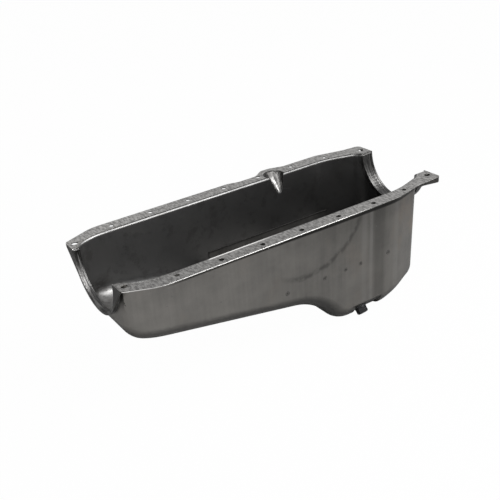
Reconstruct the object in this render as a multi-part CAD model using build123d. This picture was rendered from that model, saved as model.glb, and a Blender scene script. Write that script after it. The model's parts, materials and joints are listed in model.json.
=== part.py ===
from build123d import *
import os
from math import cos, radians, sin, tan

# Engine oil pan with a rear sump, drawn from one steel sheet.
# X runs from the front seal arch (-) to the rear seal arch (+), Y across the pan, Z up.
# The origin is the centre of the rail's bolt pattern, in the gasket plane, on the crank axis.

# Steel sheet of the pan
SHEET = 1.5
RAIL_BEND = 2.5
WALL_DRAFT = 2.2

# Rail bolt holes, in pairs across the pan from front to rear
HOLE_PITCH = 65.0
PAIR_COUNT = 9
FRONT_CORNER_HALF = 80.5
FRONT_SECOND_HALF = 99.5
RAIL_HALF = 102.0
REAR_SECOND_HALF = 96.0
REAR_CORNER_HALF = 78.5
RAIL_HOLE_DIAMETER = 7.2
CORNER_HOLE_DIAMETER = 9.0

# Outer edge of the rail
FRONT_END_MARGIN = 10.0
REAR_END_MARGIN = 11.0
RAIL_EDGE_HALF = 112.5
FRONT_EAR_HALF = 91.5
FRONT_FLARE_LENGTH = 48.0
REAR_EAR_HALF = 97.0
REAR_WAIST_HALF = 100.0
REAR_WAIST_LENGTH = 50.0
REAR_TAPER_LENGTH = 50.0
FAR_TAPER_SHIFT = 18.0
FAR_SWEEP = 30.0
EAR_CORNER = 8.0
RAIL_SWEEP = 60.0

# Tub, measured on the inner face at the gasket plane
TUB_HALF = 86.0
FRONT_WALL_X = -262.0
NOSE_SWEEP = 80.0
NOSE_REACH = 29.0
REAR_WALL_X = 252.5
TAIL_LENGTH = 60.0
TAIL_HALF = 66.5
TAIL_SWEEP = 120.0
BOTTOM_EDGE = 22.5

# Side view of the floor, on the inner face
NOSE_DEPTH = 75.5
NOSE_LEAN = 42.0
NOSE_RADIUS = 30.0
FLOOR_FRONT_DEPTH = 93.0
FLOOR_SLOPE = 10.4
FLOOR_FRONT_RADIUS = 31.0
RAMP_X = 40.0
RAMP_SLOPE = 50.0
RAMP_TOP_RADIUS = 110.0
RAMP_FOOT_RADIUS = 42.0
PAN_DEPTH = 197.5
HEEL_RISE = 23.0
HEEL_RUN = 76.0
HEEL_RADIUS = 24.0
SUMP_REAR_RADIUS = 50.0
REAR_WALL_LEAN = 1.5

# Seal arches, half rounds about the crank axis
FRONT_ARCH_RADIUS = 65.0
REAR_ARCH_RADIUS = 61.5
FRONT_LIP = 2.5
REAR_LIP = 0.5
FRONT_LIP_TURN = 33.0
REAR_LIP_TURN = 28.0
EAR_DROP = 4.0
GROOVE_DEPTH = 1.0
GROOVE_WIDTH = 5.0
GROOVE_FROM_END = 6.0
ARCH_BEAD = 1.6

# Dipstick pocket in the far wall
POCKET_X = 90.0
POCKET_Y = 94.0
POCKET_RADIUS = 15.5
POCKET_FOOT_X = 94.5
POCKET_FOOT_Y = 82.0
POCKET_FOOT_RADIUS = 2.5
POCKET_DEPTH = 33.0

# Far edge of the rail round the pocket, with lengths along the pan from the pocket
BULGE_EDGE = 7.0
BULGE_FLAT = 8.0
BULGE_REAR = 32.0
RELIEF_HALF = 107.0
RELIEF_REAR = 26.0
RELIEF_FRONT = 60.0
RELIEF_STEP = 16.0
BULGE_SWEEP = 20.0

# Drain pad, with its plug, gasket and weld nut
PAD_X = 127.0
PAD_FRONT = 17.0
PAD_REAR = 36.0
PAD_SINK = 4.0
PAD_TILT = 45.0
THREAD_DIAMETER = 12.7
THREAD_CLEARANCE = 0.05
PAD_HOLE_CLEARANCE = 0.8
NUT_DIAMETER = 23.0
NUT_HEIGHT = 10.0
PLUG_ACROSS_FLATS = 16.0
PLUG_CORNER_DIAMETER = 18.3
PLUG_CROWN = 1.2
PLUG_HEAD = 8.0
PLUG_FLANGE_DIAMETER = 19.0
PLUG_FLANGE = 2.0
PLUG_TIP = 2.0
GASKET_DIAMETER = 22.0
GASKET_THICKNESS = 2.0
GASKET_CLEARANCE = 0.3

# Baffle tray over the sump
TRAY_SHEET = 1.2
TRAY_FRONT_X = -50.0
TRAY_REAR_X = 185.0
TRAY_DEPTH = 112.0
TRAY_FLANGE = 24.0
WELD_GAP = 0.05
PICKUP_X = 120.0
PICKUP_LENGTH = 84.0
PICKUP_WIDTH = 92.0
PICKUP_CORNER = 18.0

# Share of a wall that its roundings may take, room for the forming solids around the pan,
# and how near an edge lies to its plane
ROUNDING_SHARE = 0.95
TOLERANCE = 0.01
HEAD = 10.0
SLAB_TOP = 100.0
REACH = 400.0


def rounded(corners):
    """A face whose outline turns each corner (x, y, radius) with an arc."""
    points = [(x, y) for x, y, _ in corners]
    radii = [radius for _, _, radius in corners]
    return make_face(FilletPolyline(*points, radius=radii, close=True).edges())


def mirrored(half):
    """The closed list of corners that mirrors a front-to-rear list to the other side."""
    return half + [(x, -y, radius) for x, y, radius in reversed(half)]


def floor_z(x):
    """Height of the sloping front floor's inner face at x."""
    run = x - FRONT_WALL_X - (FLOOR_FRONT_DEPTH - NOSE_DEPTH) * tan(radians(NOSE_LEAN))
    return -FLOOR_FRONT_DEPTH - run * tan(radians(FLOOR_SLOPE))


def ramp_end():
    """Where the ramp meets the sump's floor, on the inner face."""
    drop = floor_z(RAMP_X) - (SHEET - PAN_DEPTH)
    return RAMP_X + drop / tan(radians(RAMP_SLOPE))


def ramp_radii():
    """Radii at the ramp's top and foot, which share its length."""
    length = (ramp_end() - RAMP_X) / cos(radians(RAMP_SLOPE))
    top_reach = RAMP_TOP_RADIUS * tan(radians((RAMP_SLOPE - FLOOR_SLOPE) / 2))
    foot_reach = RAMP_FOOT_RADIUS * tan(radians(RAMP_SLOPE / 2))
    scale = min(1, ROUNDING_SHARE * length / (top_reach + foot_reach))
    return RAMP_TOP_RADIUS * scale, RAMP_FOOT_RADIUS * scale


def bottom_edge():
    """Radius of the tub's bottom edges on the inner face, tighter than the bends that they follow."""
    return min(BOTTOM_EDGE, ROUNDING_SHARE * min(ramp_radii()[1], HEEL_RADIUS))


def tub(grow):
    """The space inside the walls, moved outwards by grow."""
    tail_slope = (TUB_HALF - TAIL_HALF) / TAIL_LENGTH
    tail_end = REAR_WALL_X + TAIL_LENGTH
    plan_half = [
        (FRONT_WALL_X - NOSE_REACH, TUB_HALF, NOSE_SWEEP),
        (REAR_WALL_X - TAIL_LENGTH, TUB_HALF, TAIL_SWEEP),
        (tail_end, TAIL_HALF - TAIL_LENGTH * tail_slope, HEAD / 2),
    ]
    plan = offset(rounded(mirrored(plan_half)), amount=grow + HEAD * tan(radians(WALL_DRAFT)))
    walls = extrude(Plane.XY.offset(HEAD) * plan, amount=-(HEAD + PAN_DEPTH + HEAD), taper=WALL_DRAFT)
    sump_z = SHEET - PAN_DEPTH
    nose_x = FRONT_WALL_X + (FLOOR_FRONT_DEPTH - NOSE_DEPTH) * tan(radians(NOSE_LEAN))
    top_radius, foot_radius = ramp_radii()
    rear_lean = tan(radians(REAR_WALL_LEAN))
    heel_z = sump_z + HEEL_RISE
    side = rounded([
        (FRONT_WALL_X, 2 * HEAD, SHEET),
        (FRONT_WALL_X, -NOSE_DEPTH, NOSE_RADIUS),
        (nose_x, -FLOOR_FRONT_DEPTH, FLOOR_FRONT_RADIUS),
        (RAMP_X, floor_z(RAMP_X), top_radius),
        (ramp_end(), sump_z, foot_radius),
        (REAR_WALL_X + sump_z * rear_lean - HEEL_RUN, sump_z, SUMP_REAR_RADIUS),
        (REAR_WALL_X + heel_z * rear_lean, heel_z, HEEL_RADIUS),
        (REAR_WALL_X + 2 * HEAD * rear_lean, 2 * HEAD, SHEET),
    ])
    side_view = extrude(Plane.XZ * offset(side, amount=grow), amount=REACH / 2, both=True)
    block = walls & side_view
    return fillet(corner_edges(block), bottom_edge() + grow)


def corner_edges(block):
    """The edges where the side walls of a tub meet its front, floor and rear."""
    picked = []
    for edge in block.edges():
        box = edge.bounding_box()
        across = abs(edge.position_at(0.5).Y) < SHEET
        reaches_top = box.max.Z > HEAD - TOLERANCE
        along_wall = box.min.X > FRONT_WALL_X + HEAD and box.max.X < REAR_WALL_X - SHEET
        on_top = box.min.Z > HEAD - TOLERANCE
        if across or on_top or (reaches_top and along_wall):
            continue
        picked.append(edge)
    return picked


def slab(grow):
    """The solid above the rail, whose underside forms the rail."""
    height = SLAB_TOP + grow
    return Pos(0, 0, SLAB_TOP - height / 2) * Box(2 * REACH, REACH, height)


def with_rail_bend(form, grow):
    """A form joined to the slab, with the sheet's bend where they meet."""
    joined = slab(grow) + form
    bend = [
        edge
        for edge in joined.edges()
        if abs(edge.bounding_box().min.Z + grow) < TOLERANCE
        and abs(edge.bounding_box().max.Z + grow) < TOLERANCE
        and abs(edge.position_at(0.5).Y) < REACH / 2 - SHEET
        and abs(edge.position_at(0.5).X) < REACH - SHEET
    ]
    return fillet(bend, RAIL_BEND + SHEET - grow)


def channel(radius, start_x, end_x, grow):
    """A seal arch's round channel along the crank axis."""
    length = abs(end_x - start_x)
    bar = Rot(0, 90, 0) * Cylinder(radius + grow, length)
    return Pos((start_x + end_x) / 2, 0, 0) * bar


def pocket(grow):
    """The dipstick pocket, a cone that leans out of the far wall and ends in its foot."""
    rise = HEAD / POCKET_DEPTH
    mouth_x = POCKET_X + (POCKET_X - POCKET_FOOT_X) * rise
    mouth_y = POCKET_Y + (POCKET_Y - POCKET_FOOT_Y) * rise
    mouth_radius = POCKET_RADIUS + (POCKET_RADIUS - POCKET_FOOT_RADIUS) * rise
    mouth = Pos(mouth_x, mouth_y, HEAD) * Circle(mouth_radius + grow)
    foot = Pos(POCKET_FOOT_X, POCKET_FOOT_Y, -POCKET_DEPTH) * Circle(POCKET_FOOT_RADIUS + grow)
    return loft([mouth, foot])


def pad_plane():
    """The plane of the drain pad's outer face, with +Z pointing out of the pan."""
    radius = bottom_edge() + SHEET
    half = TUB_HALF + SHEET - PAN_DEPTH * tan(radians(WALL_DRAFT))
    out_y = -sin(radians(PAD_TILT))
    out_z = -cos(radians(PAD_TILT))
    reach = radius - PAD_SINK
    centre = (PAD_X, radius - half + reach * out_y, radius - PAN_DEPTH + reach * out_z)
    return Plane(origin=centre, x_dir=(1, 0, 0), z_dir=(0, out_y, out_z))


def pad_cutter(grow):
    """The solid that flattens the tub's near bottom corner into the drain pad."""
    inward = SHEET - grow
    height = bottom_edge()
    block = Box(PAD_FRONT + PAD_REAR + 2 * inward, 3 * height, height)
    return pad_plane() * Pos((PAD_REAR - PAD_FRONT) / 2, 0, height / 2 - inward) * block


def die(grow):
    """Everything on the inner side of one face of the sheet, grow outside the inner face."""
    basin = with_rail_bend(tub(grow) - pad_cutter(grow), grow)
    front = channel(FRONT_ARCH_RADIUS, SHEET - REACH, FRONT_WALL_X + HEAD, grow)
    rear = channel(REAR_ARCH_RADIUS, REAR_WALL_X - 2 * HEAD, REACH - SHEET, grow)
    scoop = with_rail_bend(pocket(grow), grow)
    return basin + with_rail_bend(front, grow) + with_rail_bend(rear, grow) + scoop


def hole_x(index):
    """Position along the pan of a pair of rail holes, counted from the front."""
    return (index - (PAIR_COUNT - 1) / 2) * HOLE_PITCH


def rail_ends():
    """The front and rear ends of the rail."""
    return hole_x(0) - FRONT_END_MARGIN, hole_x(PAIR_COUNT - 1) + REAR_END_MARGIN


def rail_outline():
    """The outer edge of the rail, with the far side's bulge round the dipstick pocket."""
    front_end, end = rail_ends()
    taper_x = end - REAR_WAIST_LENGTH - REAR_TAPER_LENGTH
    front = [
        (front_end, FRONT_EAR_HALF, EAR_CORNER),
        (front_end + FRONT_FLARE_LENGTH, RAIL_EDGE_HALF, RAIL_SWEEP),
    ]
    ear = (end, REAR_EAR_HALF, EAR_CORNER)
    near_rear = [
        (taper_x, RAIL_EDGE_HALF, RAIL_SWEEP),
        (end - REAR_WAIST_LENGTH, REAR_WAIST_HALF, RAIL_SWEEP),
        ear,
    ]
    far_rear = [
        (taper_x + FAR_TAPER_SHIFT, RAIL_EDGE_HALF, FAR_SWEEP),
        (end - REAR_WAIST_LENGTH + FAR_TAPER_SHIFT, REAR_WAIST_HALF, FAR_SWEEP),
        ear,
    ]
    bulge_half = POCKET_Y + POCKET_RADIUS + RAIL_BEND + SHEET + BULGE_EDGE
    bulge = [
        (POCKET_X - RELIEF_FRONT - RELIEF_STEP, RAIL_EDGE_HALF, FAR_SWEEP),
        (POCKET_X - RELIEF_FRONT, RELIEF_HALF, FAR_SWEEP),
        (POCKET_X - RELIEF_REAR, RELIEF_HALF, BULGE_SWEEP),
        (POCKET_X - BULGE_FLAT, bulge_half, EAR_CORNER),
        (POCKET_X + BULGE_FLAT, bulge_half, EAR_CORNER),
        (POCKET_X + BULGE_REAR, RAIL_EDGE_HALF, BULGE_SWEEP),
    ]
    near = [(x, -y, radius) for x, y, radius in reversed(front + near_rear)]
    return rounded(front + bulge + far_rear + near)


def end_plate(radius, lip, turn, ear_half):
    """The turned-down end of the sheet: a lip round the arch that widens into both ears."""
    outer = radius + SHEET + lip
    side = outer * cos(radians(turn))
    depth = outer * sin(radians(turn))
    gusset = make_face(Polyline(
        (-ear_half, 0), (ear_half, 0), (ear_half, -EAR_DROP), (side, -depth),
        (-side, -depth), (-ear_half, -EAR_DROP), close=True,
    ).edges())
    lower_half = Pos(0, -outer / 2) * Rectangle(2 * outer, outer)
    plate = gusset + (Circle(outer) & lower_half) - Circle(radius)
    return extrude(Plane.YZ * plate, amount=SHEET / 2, both=True)


def half_ring(inner, outer, width):
    """The lower half of a ring round the crank axis, clear of the rail's bend."""
    ring = Cylinder(outer, width) - Cylinder(inner, width)
    clear = RAIL_BEND + SHEET
    lower = Pos(0, 0, -clear - outer / 2) * Box(2 * width, 3 * outer, outer)
    return (Rot(0, 90, 0) * ring) & lower


def half_bead(radius, thickness):
    """The lower half of a round bead about the crank axis."""
    lower = Pos(0, 0, -radius) * Box(4 * thickness, 3 * radius, 2 * radius - 2 * SHEET)
    return (Rot(0, 90, 0) * Torus(radius, thickness)) & lower


def rail_hole_halves():
    """Half the spacing of each pair of rail holes, from front to rear."""
    middle = [RAIL_HALF] * (PAIR_COUNT - 4)
    return [FRONT_CORNER_HALF, FRONT_SECOND_HALF] + middle + [REAR_SECOND_HALF, REAR_CORNER_HALF]


def rail_holes():
    """The bolt holes of both rails, larger at the four corners."""
    halves = rail_hole_halves()
    holes = []
    for index, half in enumerate(halves):
        x = hole_x(index)
        corner = index in (0, PAIR_COUNT - 1)
        diameter = CORNER_HOLE_DIAMETER if corner else RAIL_HOLE_DIAMETER
        for side in (-1, 1):
            holes.append(Pos(x, side * half, 0) * Cylinder(diameter / 2, 2 * HEAD))
    return holes


def pan_shell():
    """The drawn sheet: rails, tub, arches, dipstick pocket and drain pad in one piece."""
    trim = extrude(Plane.XY.offset(SHEET) * rail_outline(), amount=-(PAN_DEPTH + HEAD))
    shell = (die(SHEET) - die(0)) & trim
    front_end, rear_end = rail_ends()
    for side, end, radius, lip, turn, ear_half in (
        (-1, front_end, FRONT_ARCH_RADIUS, FRONT_LIP, FRONT_LIP_TURN, FRONT_EAR_HALF - EAR_CORNER / 2),
        (1, rear_end, REAR_ARCH_RADIUS, REAR_LIP, REAR_LIP_TURN, REAR_EAR_HALF - EAR_CORNER / 2),
    ):
        shell += Pos(end - side * SHEET / 2, 0, 0) * end_plate(radius, lip, turn, ear_half)
        ridge = half_ring(radius + SHEET / 2, radius + SHEET + GROOVE_DEPTH, GROOVE_WIDTH + 2 * SHEET)
        groove = half_ring(radius - SHEET, radius + GROOVE_DEPTH, GROOVE_WIDTH)
        groove_x = end - side * GROOVE_FROM_END
        shell += Pos(groove_x, 0, 0) * ridge
        shell -= Pos(groove_x, 0, 0) * groove
        wall_x = FRONT_WALL_X if side < 0 else REAR_WALL_X
        shell += Pos(wall_x + side * SHEET / 2, 0, 0) * half_bead(radius + SHEET / 4 + ARCH_BEAD, ARCH_BEAD)
    shell -= rail_holes()
    shell -= pad_plane() * Cylinder(THREAD_DIAMETER / 2 + PAD_HOLE_CLEARANCE, 2 * HEAD)
    return shell


def tray_core(grow, depth, bend):
    """The space inside one face of the baffle tray, from its floor up to its flange tops."""
    length = TRAY_REAR_X - TRAY_FRONT_X
    top = TRAY_FLANGE - TRAY_DEPTH
    band = Pos((TRAY_FRONT_X + TRAY_REAR_X) / 2, 0, (top - depth) / 2) * Box(length, REACH, top + depth)
    core = tub(grow) & band
    corners = [
        edge
        for edge in core.edges()
        if edge.bounding_box().max.Z < TOLERANCE - depth and abs(edge.position_at(0.5).Y) > HEAD
    ]
    return fillet(corners, bend)


def baffle_tray():
    """The folded tray across the sump, whose side flanges are spot-welded to the walls."""
    outer = tray_core(-WELD_GAP, TRAY_DEPTH, 2 * TRAY_SHEET)
    inner = tray_core(-WELD_GAP - TRAY_SHEET, TRAY_DEPTH - TRAY_SHEET, TRAY_SHEET)
    pickup = extrude(RectangleRounded(PICKUP_LENGTH, PICKUP_WIDTH, PICKUP_CORNER), amount=4 * TRAY_SHEET)
    return outer - inner - Pos(PICKUP_X, 0, -TRAY_DEPTH - 2 * TRAY_SHEET) * pickup


def drain_weld_nut():
    """The round nut welded inside the drain pad."""
    body = Cylinder(NUT_DIAMETER / 2, NUT_HEIGHT)
    body = chamfer(body.edges().group_by(Axis.Z)[0], SHEET / 2)
    body -= Cylinder(THREAD_DIAMETER / 2, 2 * NUT_HEIGHT)
    return pad_plane() * Pos(0, 0, -SHEET - NUT_HEIGHT / 2) * body


def drain_gasket():
    """The sealing washer between the drain pad and the plug's flange."""
    ring = Cylinder(GASKET_DIAMETER / 2, GASKET_THICKNESS)
    ring -= Cylinder(THREAD_DIAMETER / 2 + GASKET_CLEARANCE, 2 * GASKET_THICKNESS)
    return pad_plane() * Pos(0, 0, GASKET_THICKNESS / 2) * ring


def drain_plug():
    """The hexagon-headed plug, with its flange on the gasket and its shank in the nut."""
    flange = Cylinder(PLUG_FLANGE_DIAMETER / 2, PLUG_FLANGE)
    hexagon = extrude(RegularPolygon(PLUG_ACROSS_FLATS / 2, 6, major_radius=False), amount=PLUG_HEAD)
    crown = Pos(0, 0, PLUG_HEAD / 2) * Cylinder(PLUG_CORNER_DIAMETER / 2, PLUG_HEAD)
    hexagon &= chamfer(crown.edges().group_by(Axis.Z)[-1], PLUG_CROWN)
    shank_length = GASKET_THICKNESS + SHEET + NUT_HEIGHT + PLUG_TIP
    shank = Cylinder(THREAD_DIAMETER / 2 - THREAD_CLEARANCE, shank_length)
    shank = chamfer(shank.edges().group_by(Axis.Z)[0], SHEET)
    seat = GASKET_THICKNESS
    plug = Pos(0, 0, seat - shank_length / 2) * shank
    plug += Pos(0, 0, seat + PLUG_FLANGE / 2) * flange
    plug += Pos(0, 0, seat + PLUG_FLANGE) * hexagon
    return pad_plane() * plug


PIECES = {
    "pan_shell": pan_shell,
    "baffle_tray": baffle_tray,
    "drain_weld_nut": drain_weld_nut,
    "drain_gasket": drain_gasket,
    "drain_plug": drain_plug,
}

os.makedirs("parts", exist_ok=True)
for name, make in PIECES.items():
    export_step(make(), f"parts/{name}.step")
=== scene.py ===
import json
import logging
import math
from dataclasses import dataclass, field
from enum import Enum
from functools import partial
from typing import Any, Callable, Sequence, Union

import bmesh
import bpy
from mathutils import Matrix, Vector
from mathutils.bvhtree import BVHTree


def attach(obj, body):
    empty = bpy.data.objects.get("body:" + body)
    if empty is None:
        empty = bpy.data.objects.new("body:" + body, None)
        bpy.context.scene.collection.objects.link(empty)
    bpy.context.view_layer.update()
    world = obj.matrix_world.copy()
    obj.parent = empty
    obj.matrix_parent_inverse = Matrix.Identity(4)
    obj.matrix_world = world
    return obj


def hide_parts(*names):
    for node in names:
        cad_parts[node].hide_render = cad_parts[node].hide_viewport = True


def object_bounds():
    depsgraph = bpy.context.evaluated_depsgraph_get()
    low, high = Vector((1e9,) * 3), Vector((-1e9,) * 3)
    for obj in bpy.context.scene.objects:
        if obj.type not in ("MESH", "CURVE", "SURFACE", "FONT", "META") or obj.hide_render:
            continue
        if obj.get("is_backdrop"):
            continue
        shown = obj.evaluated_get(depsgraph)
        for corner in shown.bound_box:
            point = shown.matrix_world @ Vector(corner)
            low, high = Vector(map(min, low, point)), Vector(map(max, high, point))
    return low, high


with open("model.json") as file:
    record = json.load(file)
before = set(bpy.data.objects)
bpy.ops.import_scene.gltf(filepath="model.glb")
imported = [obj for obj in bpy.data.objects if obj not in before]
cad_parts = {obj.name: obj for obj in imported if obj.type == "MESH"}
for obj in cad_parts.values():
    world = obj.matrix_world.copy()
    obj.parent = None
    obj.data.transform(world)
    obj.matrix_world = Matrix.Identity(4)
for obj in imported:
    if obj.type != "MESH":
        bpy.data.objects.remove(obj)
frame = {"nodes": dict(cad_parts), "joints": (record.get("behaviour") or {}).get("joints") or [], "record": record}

# Bare steel oil pan: drawn shell with turned-down ears, baffle tray, spot welds, weld nut with
# its bead, gasket and drain plug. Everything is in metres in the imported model's frame: +X to the
# rear, +Y to the far rail, +Z up, with the gasket plane at zero.

log = logging.getLogger("oil_pan")
RECORD: dict[str, Any] = frame["record"]
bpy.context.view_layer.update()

Colour = tuple[float, float, float]
Point = tuple[float, float, float]
Span = tuple[float, float]
Number = Union["Signal", float]

MERGE_REACH = 1e-7


def mm(value: float) -> float:
    """Millimetres as metres."""
    return value / 1000.0


def grey(value: float) -> Colour:
    """An even grey."""
    return (value, value, value)


class Side(Enum):
    """The two long walls of the pan."""

    NEAR = -1
    FAR = 1


class Face(Enum):
    """The two faces of the sheet."""

    INNER = -1
    OUTER = 1


class Signal:
    """An output socket of a shader tree whose arithmetic adds Math nodes."""

    def __init__(self, shader: "Shader", socket: bpy.types.NodeSocket | None) -> None:
        """Wraps a socket.

        Args:
            shader: The shader that the socket belongs to.
            socket: The output socket, or none where the node is the tree's last.
        """
        self.shader = shader
        self.socket = socket

    def _maths(self, operation: str, *values: Number) -> "Signal":
        """Adds one Math node.

        Args:
            operation: The node's operation.
            *values: Its inputs, in order.

        Returns:
            The node's result.
        """
        inputs = dict(enumerate(values))
        return self.shader.add("ShaderNodeMath", {"operation": operation}, inputs)

    def __add__(self, other: Number) -> "Signal":
        """Sum."""
        return self._maths("ADD", self, other)

    def __sub__(self, other: Number) -> "Signal":
        """Difference."""
        return self._maths("SUBTRACT", self, other)

    def __rsub__(self, other: Number) -> "Signal":
        """Difference from a number."""
        return self._maths("SUBTRACT", other, self)

    def __mul__(self, other: Number) -> "Signal":
        """Product."""
        return self._maths("MULTIPLY", self, other)

    def __truediv__(self, other: Number) -> "Signal":
        """Quotient."""
        return self._maths("DIVIDE", self, other)

    def __pow__(self, other: Number) -> "Signal":
        """Power."""
        return self._maths("POWER", self, other)

    def __gt__(self, other: Number) -> "Signal":
        """One where this is greater, else zero."""
        return self._maths("GREATER_THAN", self, other)

    def __lt__(self, other: Number) -> "Signal":
        """One where this is less, else zero."""
        return self._maths("LESS_THAN", self, other)

    def __abs__(self) -> "Signal":
        """Distance from zero."""
        return self._maths("ABSOLUTE", self)

    def least(self, other: Number) -> "Signal":
        """The smaller of two values."""
        return self._maths("MINIMUM", self, other)

    def ramp(self, low: float, high: float) -> "Signal":
        """Rises smoothly from 0 at low to 1 at high.

        Args:
            low: The value that gives 0.
            high: The value that gives 1.

        Returns:
            The smooth step.
        """
        settings = {"interpolation_type": "SMOOTHSTEP"}
        inputs = {"Value": self, "From Min": low, "From Max": high}
        return self.shader.add("ShaderNodeMapRange", settings, inputs)

    __radd__ = __add__
    __rmul__ = __mul__


class Shader:
    """A material's node tree."""

    def __init__(self, name: str) -> None:
        """Makes an empty material.

        Args:
            name: The material's name.
        """
        self.material = bpy.data.materials.new(name)
        self.material.use_nodes = True
        self.tree = self.material.node_tree
        self.tree.nodes.clear()

    def add(
        self,
        kind: str,
        settings: dict[str, Any] | None = None,
        inputs: dict[str | int, Any] | None = None,
        output: str | int = 0,
    ) -> Signal:
        """Adds any node.

        Args:
            kind: The node's type.
            settings: Its properties, set first.
            inputs: Values or signals by socket name or number.
            output: The socket to return, by name or number.

        Returns:
            The chosen output.
        """
        node = self.tree.nodes.new(kind)
        for key, value in (settings or {}).items():
            setattr(node, key, value)
        for key, value in (inputs or {}).items():
            if isinstance(value, Signal):
                self.tree.links.new(value.socket, node.inputs[key])
            else:
                node.inputs[key].default_value = value
        return Signal(self, node.outputs[output] if node.outputs else None)

    def place(self) -> Signal:
        """The point being shaded, in object coordinates."""
        return self.add("ShaderNodeTexCoord", output="Object")

    def axes(self) -> tuple[Signal, Signal, Signal]:
        """Splits the point being shaded.

        Returns:
            Its X, Y and Z.
        """
        split = self.add("ShaderNodeSeparateXYZ", inputs={0: self.place()})
        node = split.socket.node
        return tuple(Signal(self, node.outputs[index]) for index in range(3))

    def flag(self, name: str) -> Signal:
        """A number kept on the mesh.

        Args:
            name: The attribute's name.

        Returns:
            Its value.
        """
        return self.add("ShaderNodeAttribute", {"attribute_name": name}, output="Fac")

    def noise(
        self,
        stretch: Point,
        detail: float = 3.0,
        roughness: float = 0.55,
        at: Point = (0, 0, 0),
        turn: float = 0.0,
    ) -> Signal:
        """Cloudy noise from 0 to 1.

        Args:
            stretch: Waves in a metre along each axis.
            detail: Octaves.
            roughness: How strong the fine octaves are.
            at: Shift of the pattern, in metres.
            turn: Turn of the pattern about Z, in degrees.

        Returns:
            The noise.
        """
        turned = (0.0, 0.0, math.radians(turn))
        inputs = {"Vector": self.place(), "Location": at, "Rotation": turned, "Scale": stretch}
        mapped = self.add("ShaderNodeMapping", inputs=inputs)
        inputs = {"Vector": mapped, "Scale": 1.0, "Detail": detail, "Roughness": roughness}
        return self.add("ShaderNodeTexNoise", inputs=inputs)

    def blend(self, share: Number, first: Any, second: Any, mode: str = "MIX") -> Signal:
        """Mixes two colours.

        Args:
            share: How much of the second, or of the mode's effect.
            first: Colour or signal.
            second: Colour or signal.
            mode: Blend mode.

        Returns:
            The mixed colour.
        """
        first = first if isinstance(first, Signal) else (*first, 1.0)
        second = second if isinstance(second, Signal) else (*second, 1.0)
        settings = {"data_type": "RGBA", "blend_type": mode}
        return self.add("ShaderNodeMix", settings, {0: share, 6: first, 7: second}, output=2)

    def shade(self, share: Number, colour: Signal, factor: float) -> Signal:
        """Darkens or brightens a colour.

        Args:
            share: How much of the change shows, from 0 to 1.
            colour: The colour.
            factor: What it is multiplied by.

        Returns:
            The changed colour.
        """
        return self.blend(share, colour, grey(factor), "MULTIPLY")

    def rounded_normal(self, radius: float) -> Signal:
        """The surface normal, softened over sharp edges.

        Args:
            radius: The edge's radius, in metres.

        Returns:
            The normal.
        """
        return self.add("ShaderNodeBevel", {"samples": 8}, {"Radius": radius})

    def rolled_over(self, share: Signal, normal: Signal, steepest: float = 1.2) -> Signal:
        """Tilts a normal upwards, as on an edge that is rolled over.

        Args:
            share: How far, from 0 to 1.
            normal: The normal to start from.
            steepest: What is added to its height at a share of 1: 1.2 is about 50 degrees.

        Returns:
            The tilted normal.
        """
        lift = self.add("ShaderNodeCombineXYZ", inputs={2: share * steepest})
        total = self.add("ShaderNodeVectorMath", {"operation": "ADD"}, {0: normal, 1: lift})
        return self.add("ShaderNodeVectorMath", {"operation": "NORMALIZE"}, {0: total})

    def bump(
        self,
        height: Signal,
        distance: float,
        strength: float,
        normal: Signal | None = None,
    ) -> Signal:
        """Turns a height into a normal.

        Args:
            height: The relief, from 0 to 1.
            distance: The relief's full depth, in metres.
            strength: How much of it shows.
            normal: The normal to start from.

        Returns:
            The bent normal.
        """
        inputs: dict[str | int, Any] = {"Height": height, "Distance": distance}
        inputs["Strength"] = strength
        if normal is not None:
            inputs["Normal"] = normal
        return self.add("ShaderNodeBump", inputs=inputs)

    def surface(self, **sockets: Any) -> bpy.types.Material:
        """Ends the tree with a Principled shader.

        Args:
            **sockets: Its inputs, with underscores for spaces.

        Returns:
            The finished material.
        """
        inputs = {key.replace("_", " "): value for key, value in sockets.items()}
        shader = self.add("ShaderNodeBsdfPrincipled", inputs=inputs)
        return self.finish(shader)

    def finish(self, shader: Signal) -> bpy.types.Material:
        """Links a shader to the material's output.

        Args:
            shader: The shader.

        Returns:
            The finished material.
        """
        self.add("ShaderNodeOutputMaterial", inputs={"Surface": shader})
        return self.material


@dataclass(frozen=True)
class WeldSites:
    """Where the tray's flanges are spot-welded to both walls, and how far the heat reached."""

    along: tuple[float, ...] = (-0.0175, 0.0505, 0.0902, 0.1195, 0.1752)
    height: float = -0.103
    mark_radius: float = mm(3.1)
    halo_radius: float = mm(7.5)
    core: Span = (mm(2.4), mm(4.4))
    ragged: float = mm(4)


@dataclass(frozen=True)
class Band:
    """A stretch of the pan's length that a mark covers, soft at both ends."""

    start: float
    end: float
    fade: float
    strength: float = 1.0

    def cover(self, x: Signal) -> Signal:
        """How much the mark covers.

        Args:
            x: Place along the pan.

        Returns:
            The band's strength inside it, zero outside.
        """
        begun = x.ramp(self.start - self.fade, self.start + self.fade)
        ended = x.ramp(self.end - self.fade, self.end + self.fade)
        return begun * (1.0 - ended) * self.strength


@dataclass(frozen=True)
class PanPoint:
    """The point being shaded, as the layers of the pan's finish read it."""

    shader: Shader
    x: Signal
    y: Signal
    z: Signal
    near: Signal
    top: Signal
    inner: Signal
    rim: Signal
    rim_highlight: Signal
    streaks: Signal
    clouds: Signal
    grain: Signal


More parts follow.
